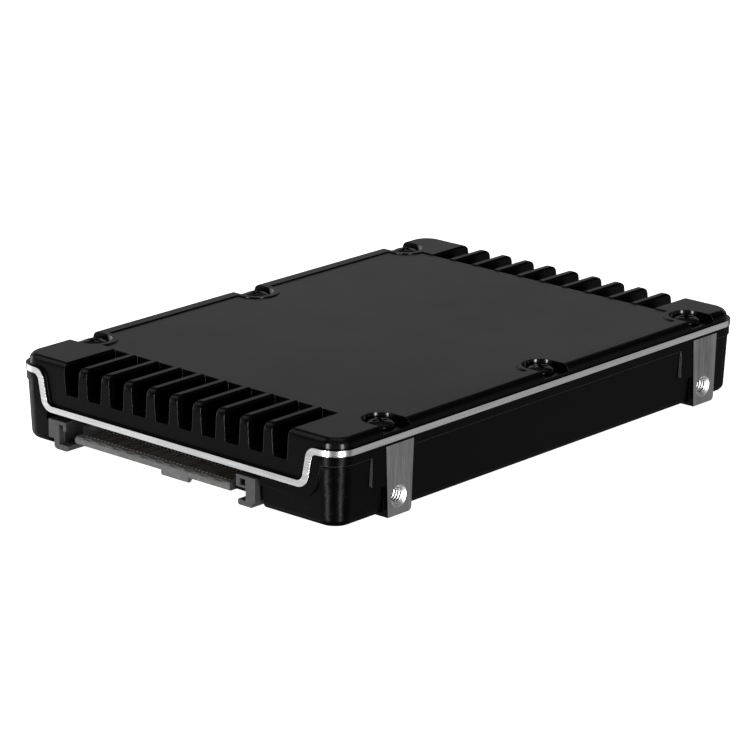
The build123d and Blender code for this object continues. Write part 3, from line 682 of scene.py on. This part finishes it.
@dataclass
class Cover:
    """Painted finned cover with its bare machined edge."""

    finishes: Finishes
    node: bpy.types.Object
    seats: Sequence[Vector]
    edge_mm: float = 0.10
    band_skin_mm: float = 0.13
    field_depth_mm: float = 0.2
    pocket_r_mm: float = 3.0
    pocket_depth_mm: float = 1.15
    old_rim_mm: float = 4.5
    rim_mm: float = 3.95

    def tighten_rims(self, piece: bpy.types.Object, top: float) -> None:
        """Draw the field's arcs round the screws in to their smaller radius."""
        side = max(abs(v.co.x) for v in piece.data.vertices if self.on_rim(v.co, top))
        for vertex in piece.data.vertices:
            if not self.on_rim(vertex.co, top):
                continue
            seat = min(self.seats, key=lambda s: (vertex.co.xy - s.xy).length)
            step = vertex.co.xy - seat.xy
            if side - abs(vertex.co.x) < 0.02 * MM:
                reach = math.sqrt((self.rim_mm * MM) ** 2 - step.x**2)
                vertex.co.y = seat.y + math.copysign(reach, step.y)
            else:
                vertex.co.xy = seat.xy + step * self.rim_mm / self.old_rim_mm

    def on_rim(self, at: Vector, top: float) -> bool:
        """Whether a point lies on one of the field's arcs."""
        near = min((at.xy - s.xy).length for s in self.seats)
        return abs(near - self.old_rim_mm * MM) < 0.02 * MM and at.z > top - 0.3 * MM

    def in_pocket(self, centre: Vector, normal: Vector, top: float) -> bool:
        """Whether a face belongs to a screw pocket's wall."""
        near = min((centre.xy - s.xy).length for s in self.seats)
        low, high = (self.pocket_r_mm - 0.2) * MM, (self.pocket_r_mm + 0.15) * MM
        return low < near < high and top - centre.z < self.pocket_depth_mm * MM and normal.z < 0.9

    def build(self) -> bpy.types.Object:
        """Model and dress the cover."""
        low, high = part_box("top_cover")
        outline = Outline((high.x - low.x) / 2, (high.y - low.y) / 2)
        piece = copied(self.node, "cover_casting")
        self.tighten_rims(piece, high.z)
        ease(piece, self.edge_mm)
        smooth(piece)
        dress(piece, self.finishes, CoverCoat)
        floor = high.z - self.field_depth_mm * MM
        skin = self.band_skin_mm * MM
        give(piece, CoverCoat.EDGE_PAINT, lambda c, n: abs(n.x) > 0.25 and abs(n.y) > 0.25)
        give(piece, CoverCoat.POCKET_PAINT, lambda c, n: self.in_pocket(c, n, high.z))
        give(piece, CoverCoat.MACHINED_EDGE, lambda c, n: outline.inside(c) < skin and abs(n.z) < 0.9)
        # painted light: the recessed top field gets the lighter copy of the cover paint
        give(piece, CoverCoat.FIELD_PAINTED_LIGHT, lambda c, n: n.z > 0.99 and abs(c.z - floor) < 0.02 * MM)
        finish_piece(piece, ["top_cover"])
        return piece


@dataclass
class Tray:
    """Painted tray with bare milled lugs and tapped holes."""

    finishes: Finishes
    node: bpy.types.Object
    mounts: dict[str, dict]
    edge_mm: float = 0.08
    sink_mm: float = 1.8
    rim_mm: float = 10.4
    pad_from_hole_mm: float = 6.0
    thread_turns: int = 5
    thread_pitch_mm: float = 0.5
    thread_depth_mm: float = 0.17
    thread_start_mm: float = 0.4
    bore_mm: float = 2.7

    def holes(self) -> list[tuple[Vector, Vector]]:
        """Mouth and outward direction of every tapped hole."""
        found = []
        for name in ("side_holes_right", "side_holes_left", "bottom_holes"):
            mount = self.mounts[name]
            axis = Vector(mount["axis"])
            dims = mount["dims"]
            across, along = 0.0, dims["spacing_x_mm"]
            if axis.z != 0:
                across, along = dims["spacing_x_mm"], dims["spacing_y_mm"]
            for sx in (-1, 1) if across else (0,):
                for sy in (-1, 1):
                    step = Vector((sx * across / 2, sy * along / 2, 0)) * MM
                    found.append((Vector(mount["pos_m"]) + step, axis))
        return found

    def build(self) -> bpy.types.Object:
        """Model and dress the tray."""
        low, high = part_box("base_tray")
        piece = copied(self.node, "tray_casting")
        ease(piece, self.edge_mm)
        smooth(piece)
        dress(piece, self.finishes, TrayCoat)
        outline = Outline(high.x, high.y)
        # painted highlight: a light line along the rim's lower edge and down each pad's plug-side flank
        give(piece, TrayCoat.EDGE_HIGHLIGHT, lambda c, n: self.on_rim(c, n, low.z) and outline.inside(c) < 0.3 * MM)
        sides = [mouth.y - self.pad_from_hole_mm * MM for mouth, axis in self.holes() if axis.x > 0]
        for side in sides:
            give(piece, TrayCoat.EDGE_HIGHLIGHT, lambda c, n: self.on_pad_side(c, n, side, high.x))
        flat = 0.05 * MM
        give(piece, TrayCoat.MILLED_LUG, lambda c, n: high.x - abs(c.x) < flat and abs(n.x) > 0.6)
        give(piece, TrayCoat.MILLED_LUG, lambda c, n: c.z - low.z < flat and n.z < -0.6)
        for mouth, axis in self.holes():
            # painted shade: the hole walls get the dark metal and the countersinks the bright one
            give(piece, TrayCoat.BORE_SHADE, lambda c, n: self.in_hole(c, n, mouth, axis))
            give(piece, TrayCoat.TAPPED_BORE, lambda c, n: self.in_sink(c, n, mouth, axis))
        finish_piece(piece, ["base_tray"])
        self.threads()
        return piece

    def on_rim(self, centre: Vector, normal: Vector, bottom: float) -> bool:
        """Whether a face is at the height of the rim and looks down a little, and so gets the painted
        highlight line.
        """
        return abs(centre.z - bottom - self.rim_mm * MM) < 0.07 * MM and normal.z < -0.2

    def on_pad_side(self, centre: Vector, normal: Vector, side: float, half_x: float) -> bool:
        """Whether a face is the plug-side flank of a panel pad, which gets a painted highlight."""
        near = abs(centre.y - side) < 0.12 * MM and half_x - abs(centre.x) < 1.3 * MM
        return near and normal.y < -0.3 and centre.z < self.rim_mm * MM

    def in_hole(self, centre: Vector, normal: Vector, mouth: Vector, axis: Vector) -> bool:
        """Whether a face belongs to a tapped hole's wall, floor or countersink."""
        step = centre - mouth
        depth = -step.dot(axis)
        radius = (step + axis * depth).length
        deep = -0.01 * MM < depth < self.bore_mm * MM
        return radius < self.sink_mm * MM and deep and abs(normal.dot(axis)) < 0.95

    def in_sink(self, centre: Vector, normal: Vector, mouth: Vector, axis: Vector) -> bool:
        """Whether a face belongs to a tapped hole and slants, as its countersink does."""
        return self.in_hole(centre, normal, mouth, axis) and abs(normal.dot(axis)) > 0.3

    def threads(self) -> None:
        """Cut-look thread ridges that line the tapped holes."""
        radius = self.mounts["side_holes_right"]["dims"]["hole_r_mm"]
        pitch, depth = self.thread_pitch_mm, self.thread_depth_mm
        corners = [(radius - 0.005, -0.22 * pitch), (radius - depth, 0.0), (radius - 0.005, 0.22 * pitch)]
        mesh = bpy.data.meshes.new("thread")
        mesh.from_pydata([(r * MM, 0, z * MM) for r, z in corners], [(0, 1), (1, 2)], [])
        ridge = bpy.data.objects.new("thread", mesh)
        bpy.context.scene.collection.objects.link(ridge)
        turns = self.thread_turns - 1
        apply_modifier(
            ridge, "SCREW", angle=math.tau * turns, steps=24 * turns, render_steps=24 * turns,
            screw_offset=pitch * turns * MM, axis="Z",
        )
        sets = []
        for index, (mouth, axis) in enumerate(self.holes()):
            lean = Vector((0, 0, 1)).rotation_difference(-axis).to_matrix().to_4x4()
            place = Matrix.Translation(mouth - axis * self.thread_start_mm * MM) @ lean
            sets.append(moved(ridge, place, f"thread_{index}"))
        bpy.data.objects.remove(ridge)
        liners = joined(sets, "thread_liners")
        with editing(liners):
            bpy.ops.mesh.normals_make_consistent(inside=True)
        smooth(liners, 50)
        finish_piece(liners, [], self.finishes["tapped_bore"])


@dataclass
class CoverScrews:
    """Blackened pan-head screws with cross recesses. Sizes are in millimetres."""

    finishes: Finishes
    head_r: float = 2.3
    head_h: float = 0.95
    shank_r: float = 1.0
    length: float = 5.2
    recess: float = 0.72
    recess_taper: float = 0.62
    first_turn: float = 17
    turn_step: float = 41

    def model(self) -> bpy.types.Object:
        """One screw with its seat at the origin."""
        r, h, s = self.head_r, self.head_h, self.shank_r
        rings = [
            (s * 0.55, -self.length), (s * 0.98, 0.35 - self.length), (s * 0.98, 0.0), (r * 0.93, 0.001),
            (r * 0.985, 0.05), (r, 0.14), (r, h * 0.32), (r * 0.97, h * 0.47), (r * 0.88, h * 0.64),
            (r * 0.74, h * 0.78), (r * 0.55, h * 0.90), (r * 0.35, h * 0.965), (r * 0.12, h),
        ]
        screw = turned("cover_screw", rings)
        wing, slot = r * 0.60, r * 0.19
        low, high = h - self.recess, h + 0.3
        arms = [
            bar("arm_x", (-wing, -slot, low), (wing, slot, high), self.recess_taper),
            bar("arm_y", (-slot, -wing, low), (slot, wing, high), self.recess_taper),
        ]
        for arm in arms:
            cut(screw, arm)
        ease(screw, 0.04, 2, 40)
        return screw

    def seats(self) -> list[Vector]:
        """Where the six heads rest."""
        low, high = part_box("cover_screws")
        x = high.x - self.head_r * MM
        y0, y1 = low.y + self.head_r * MM, high.y - self.head_r * MM
        z = high.z - self.head_h * MM
        return [Vector((sx * x, y, z)) for y in (y0, (y0 + y1) / 2, y1) for sx in (-1, 1)]

    def build(self) -> bpy.types.Object:
        """Put six screws into their pockets, each turned by its own amount."""
        master = self.model()
        sets = []
        for index, seat in enumerate(self.seats()):
            turn = Matrix.Rotation(math.radians(self.first_turn + self.turn_step * index), 4, "Z")
            sets.append(moved(master, Matrix.Translation(seat) @ turn, f"screw_{index}"))
        bpy.data.objects.remove(master)
        piece = joined(sets, "cover_screw_set")
        smooth(piece)
        finish_piece(piece, ["cover_screws"], self.finishes["screw_coat"])
        return piece


@dataclass
class Plug:
    """Plug moulding and its contacts. Sizes are in millimetres."""

    finishes: Finishes
    nodes: dict[str, bpy.types.Object]
    edge_mm: float = 0.06
    pitch: float = 0.8
    tongue_half: float = 17.0
    tongue_top: float = 3.3
    tongue_t: float = 1.3
    wall: float = 5.35
    slit: float = 0.28
    slit_half: float = 0.2
    notch_pitch: float = 3.2
    notch_half: float = 1.0
    notch_deep: float = 0.75
    gap: tuple[float, float] = (2.45, 5.93)
    gap_floor: float = 1.35

    def contact_x(self) -> list[float]:
        """Places across the drive of the upper contacts, in millimetres."""
        low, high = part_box("upper_contacts")
        count = round((high.x - low.x) / MM / self.pitch - 0.5) + 1
        middle = (low.x + high.x) / 2 / MM
        return [middle + (i - (count - 1) / 2) * self.pitch for i in range(count)]

    def cuts(self) -> bpy.types.Object:
        """Slots in the wall behind the tongue, scallops in its nose and the gap beside it."""
        low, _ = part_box("connector_housing")
        x0, y0 = low.x / MM, low.y / MM
        xs = self.contact_x()
        middle = sum(xs) / len(xs)
        top, wall = self.tongue_top, y0 + self.wall
        bars = []
        for x in xs:
            low_end = (x - self.slit_half, wall - 0.05, top - 0.1)
            bars.append(bar("slot", low_end, (x + self.slit_half, wall + 0.7, top + self.slit)))
        for i in range(-5, 5):
            x = middle + (i + 0.5) * self.notch_pitch
            low_end = (x - self.notch_half, y0 - 0.5, top - 0.16)
            bars.append(bar("scallop", low_end, (x + self.notch_half, y0 + self.notch_deep, top + 0.5), 0.8))
        left, right = self.gap
        low_end = (x0 + left, y0 - 0.5, self.gap_floor)
        bars.append(bar("gap", low_end, (x0 + right, wall - 0.1, top + 0.3)))
        return joined(bars, "plug_cuts")

    def tips(self) -> bpy.types.Object:
        """Raised touch points at the front of the upper contacts."""
        low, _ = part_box("upper_contacts")
        y = low.y + 0.14 * MM
        z = (self.tongue_top - 0.1 - 0.02) * MM
        master = turned("tip", [(0.20, 0.0), (0.185, 0.07), (0.14, 0.13), (0.06, 0.16)], 12)
        sets = []
        for index, x in enumerate(self.contact_x()):
            sets.append(moved(master, Matrix.Translation((x * MM, y, z)), f"tip_{index}"))
        bpy.data.objects.remove(master)
        return joined(sets, "contact_tips")

    def in_comb(self, centre: Vector, normal: Vector, middle: float, front: float) -> bool:
        """Whether a face belongs to the tongue's ribbed top or the wall behind it, which get the lightest copy
        of the plastic as painted light.
        """
        x, y, z = (value / MM for value in centre)
        inside = abs(x - middle) < self.tongue_half + 0.02
        ribs = normal.z > 0.5 and abs(z - self.tongue_top) < 0.03
        wall = normal.y < -0.5 and z > self.tongue_top and abs(y - front - self.wall) < 0.1
        return inside and (ribs or wall)

    def beside_tongue(self, centre: Vector, corner: Vector) -> bool:
        """Whether a face lies deep in the gap between the left arm and the tongue, where painted shade goes.
        """
        x, y, z = (centre - corner) / MM
        left, right = self.gap
        return left - 0.05 < x < right + 0.02 and y > 2.2 and self.gap_floor - 0.05 < z < 5.0

    def on_nose(self, centre: Vector, middle: float, front: float) -> bool:
        """Whether a face belongs to the tongue's front lip, which gets a lighter copy of the plastic as
        painted light.
        """
        x, y, z = (value / MM for value in centre)
        inside = abs(x - middle) < self.tongue_half + 0.02
        tall = self.tongue_top - self.tongue_t - 0.9 < z < self.tongue_top + 0.05
        return inside and tall and y - front < 0.9

    def build(self) -> None:
        """Model and dress the plug's pieces."""
        low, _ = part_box("connector_housing")
        front = low.y / MM
        xs = self.contact_x()
        middle = sum(xs) / len(xs)
        housing = copied(self.nodes["connector_housing"], "plug_moulding")
        cut(housing, self.cuts())
        ease(housing, self.edge_mm, 1, 40)
        smooth(housing)
        dress(housing, self.finishes, PlugCoat)
        corner = Vector((low.x, low.y, 0))
        # painted light: the ribbed top and the wall behind it get the lightest plastic
        give(housing, PlugCoat.PLUG_COMB_PAINTED_LIGHT, lambda c, n: self.in_comb(c, n, middle, front))
        # painted light: the front lip gets the lighter plastic
        give(housing, PlugCoat.PLUG_NOSE_PAINTED_LIGHT, lambda c, n: self.on_nose(c, middle, front))
        # painted shade: the faces deep in the gap get the near-black plastic
        give(housing, PlugCoat.PLUG_SHADE, lambda c, n: self.beside_tongue(c, corner))
        finish_piece(housing, ["connector_housing"])
        for node, name in (("upper_contacts", "contact_row_upper"), ("lower_contacts", "contact_row_lower")):
            row = copied(self.nodes[node], name)
            ease(row, 0.03, 1, 40)
            smooth(row)
            # painted shade: the contact rows get the darkened gold
            finish_piece(row, [node], self.finishes["gold_plate_painted_shade"])
        tips = self.tips()
        smooth(tips, 60)
        # painted highlight: the tips get the pale gold
        finish_piece(tips, [], self.finishes["gold_tip_painted_highlight"])


@dataclass
class Inside:
    """Parts inside the case, which keep their CAD shapes."""

    finishes: Finishes
    nodes: dict[str, bpy.types.Object]
    coats: dict[str, str] = field(
        default_factory=lambda: {
            "connector_locks": "tin_plate", "main_board": "board_mask", "memory_board": "board_mask",
            "board_spacers": "turned_brass", "board_screws": "zinc_plate", "board_link_plug": "link_plastic",
            "board_link_socket": "link_plastic", "controller_substrate": "laminate",
            "controller_lid": "blasted_lid", "controller_pad": "gap_pad", "main_flash_lower": "chip_epoxy",
            "main_flash_upper": "chip_epoxy", "memory_flash_lower": "chip_epoxy",
            "memory_flash_upper": "chip_epoxy", "floor_pads": "gap_pad", "middle_pads": "gap_pad",
            "roof_pads": "gap_pad", "buffer_memory": "chip_epoxy", "holdup_capacitors": "capacitor_epoxy",
            "capacitor_tabs": "tin_plate", "power_inductors": "ferrite", "power_regulators": "chip_epoxy",
            "boot_memory": "chip_epoxy", "clock_crystal": "satin_can", "bypass_capacitors": "ceramic",
            "underside_label": "label_film",
        }
    )

    def build(self) -> None:
        """Dress every carried-over node."""
        for name, coat in self.coats.items():
            mesh = self.nodes[name].data
            mesh.materials.clear()
            mesh.materials.append(self.finishes[coat])
            LOG.info("%s: %s", name, coat)


# ---------------------------------------------------------------- studio


def towards(bearing: float, height: float) -> Vector:
    """Unit vector from the drive to a bearing and a height, both in degrees."""
    a, e = math.radians(bearing), math.radians(height)
    return Vector((math.sin(a) * math.cos(e), -math.cos(a) * math.cos(e), math.sin(e)))


@dataclass(frozen=True)
class Panel:
    """A rectangular soft light that faces the drive from a bearing."""

    name: str
    bearing: float
    height: float
    width_m: float
    tall_m: float
    radiance: float
    away_m: float = 1.6

    def place(self) -> bpy.types.Object:
        """Hang the light. Bearing 0 is in front of the plug and 90 on the drive's right."""
        data = bpy.data.lights.new(self.name, "AREA")
        data.shape = "RECTANGLE"
        data.size, data.size_y = self.width_m, self.tall_m
        data.energy = self.radiance * math.pi * self.width_m * self.tall_m
        lamp = bpy.data.objects.new(self.name, data)
        bpy.context.scene.collection.objects.link(lamp)
        back = towards(self.bearing, self.height)
        lamp.location = back * self.away_m
        lamp.rotation_mode = "QUATERNION"
        lamp.rotation_quaternion = back.to_track_quat("Z", "Y")
        lamp.visible_camera = False
        return lamp


@dataclass
class Studio:
    """White floor, soft panels and the camera."""

    bearing: float = 41.58
    height: float = 17.18
    roll: float = 0.45
    away_mm: float = 629.6
    target_mm: tuple[float, float, float] = (0.420, -3.003, 7.5)
    lens: float = 184.5
    ambient: float = 0.10
    panels: Sequence[Panel] = (
        Panel("front_fill", -40, -16, 1.5, 2.0, 0.55),
        Panel("right_fill", 140, -16, 1.5, 2.0, 0.335),
        Panel("front_strip", 1.4, -8, 0.28, 1.6, 20.0),
        Panel("right_strip", 69.2, -8, 0.28, 1.6, 20.0),
        Panel("back_glow", 221, 17, 2.4, 0.62, 0.37),
        Panel("overhead", 200, 78, 1.2, 1.2, 0.5),
        Panel("upper_front", -65, 45, 1.1, 0.9, 2.0),
        Panel("left_fill", -80, -10, 1.1, 1.6, 1.3),
        Panel("left_front", -66, -14, 0.35, 0.6, 0.45, 0.4),
    )

    def camera(self) -> None:
        """Set up the camera."""
        side, roll = math.radians(self.bearing), math.radians(self.roll)
        back = towards(self.bearing, self.height)
        right = Vector((math.cos(side), math.sin(side), 0))
        up = back.cross(right)
        x = math.cos(roll) * right + math.sin(roll) * up
        y = -math.sin(roll) * right + math.cos(roll) * up
        data = bpy.data.cameras.new("camera")
        data.lens, data.sensor_width = self.lens, 36.0
        data.clip_start, data.clip_end = 0.01, 50.0
        camera = bpy.data.objects.new("camera", data)
        bpy.context.scene.collection.objects.link(camera)
        place = Matrix((x, y, back)).transposed().to_4x4()
        place.translation = Vector(self.target_mm) * MM + back * self.away_mm * MM
        camera.matrix_world = place
        bpy.context.scene.camera = camera

    def floor(self) -> None:
        """White floor that the camera sees and the drive doesn't mirror."""
        bpy.ops.mesh.primitive_plane_add(size=40, location=(0, 0, -0.02 * MM))
        plane = bpy.context.active_object
        plane.name = "floor"
        graph = Graph("floor_white")
        white = graph.set(
            Base_Color=(0.9, 0.9, 0.9), Roughness=1.0, Emission_Color=(1, 1, 1), Emission_Strength=1.0
        )
        plane.data.materials.append(white)
        plane.visible_diffuse = plane.visible_glossy = plane.visible_shadow = False

    def air(self) -> None:
        """Dim even light from all round."""
        world = bpy.data.worlds.new("studio")
        world.use_nodes = True
        tree = world.node_tree
        tree.nodes["Background"].inputs["Color"].default_value = (1, 1, 1, 1)
        tree.nodes["Background"].inputs["Strength"].default_value = self.ambient
        bpy.context.scene.world = world

    def build(self) -> None:
        """Set up the whole studio."""
        self.camera()
        self.floor()
        self.air()
        for panel in self.panels:
            panel.place()
        bpy.context.scene.view_settings.view_transform = "Standard"


def main() -> None:
    """Load the frame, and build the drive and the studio."""
    logging.basicConfig(level=logging.INFO, format="%(message)s")
    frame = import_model()
    nodes = frame["nodes"]
    mounts = {m["name"]: m for m in frame["record"]["mounts"]}
    finishes = Finishes()
    screws = CoverScrews(finishes)
    Cover(finishes, nodes["top_cover"], screws.seats()).build()
    Tray(finishes, nodes["base_tray"], mounts).build()
    screws.build()
    Plug(finishes, nodes).build()
    Inside(finishes, nodes).build()
    Studio().build()


if __name__ == "__main__":
    main()
